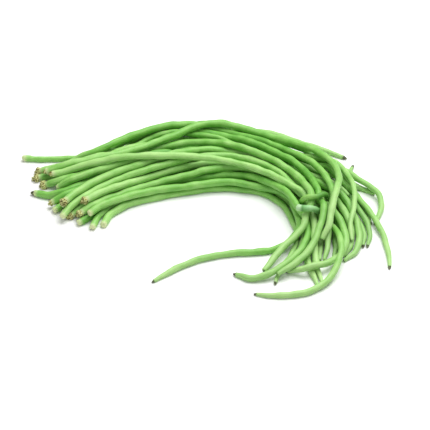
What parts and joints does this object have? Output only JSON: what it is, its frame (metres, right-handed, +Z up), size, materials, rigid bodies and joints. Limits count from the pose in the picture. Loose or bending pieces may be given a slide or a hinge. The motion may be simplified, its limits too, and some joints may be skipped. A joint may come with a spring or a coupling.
{
  "type": "yardlong bean bunch",
  "caption": "A bunch of long green yardlong bean pods lying in an arch, drawn together near one end by a pod wound round them, with their tips fanned out.",
  "frame": {"origin": "under the middle of the bunch, on the surface that it lies on", "axes": "+X along the bunch, from the stalk ends to the fan of tips; +Y towards the outer rim of the arch; +Z up"},
  "size_m": [0.37, 0.267, 0.038],
  "materials": {
    "pod_skin": "satin"
  },
  "bodies": {
    "root": {"pod_01": "pod_skin", "pod_02": "pod_skin", "pod_03": "pod_skin", "pod_04": "pod_skin", "pod_05": "pod_skin", "pod_06": "pod_skin", "pod_07": "pod_skin", "pod_08": "pod_skin", "pod_09": "pod_skin", "pod_10": "pod_skin", "pod_11": "pod_skin", "pod_12": "pod_skin", "pod_13": "pod_skin", "pod_14": "pod_skin", "pod_15": "pod_skin", "pod_16": "pod_skin", "pod_17": "pod_skin", "pod_18": "pod_skin", "pod_19": "pod_skin", "pod_20": "pod_skin", "pod_21": "pod_skin", "pod_22": "pod_skin", "pod_23": "pod_skin", "pod_24": "pod_skin", "pod_25": "pod_skin", "pod_26": "pod_skin", "pod_27": "pod_skin", "pod_28": "pod_skin", "tie_pod": "pod_skin"}
  },
  "joints": []
}
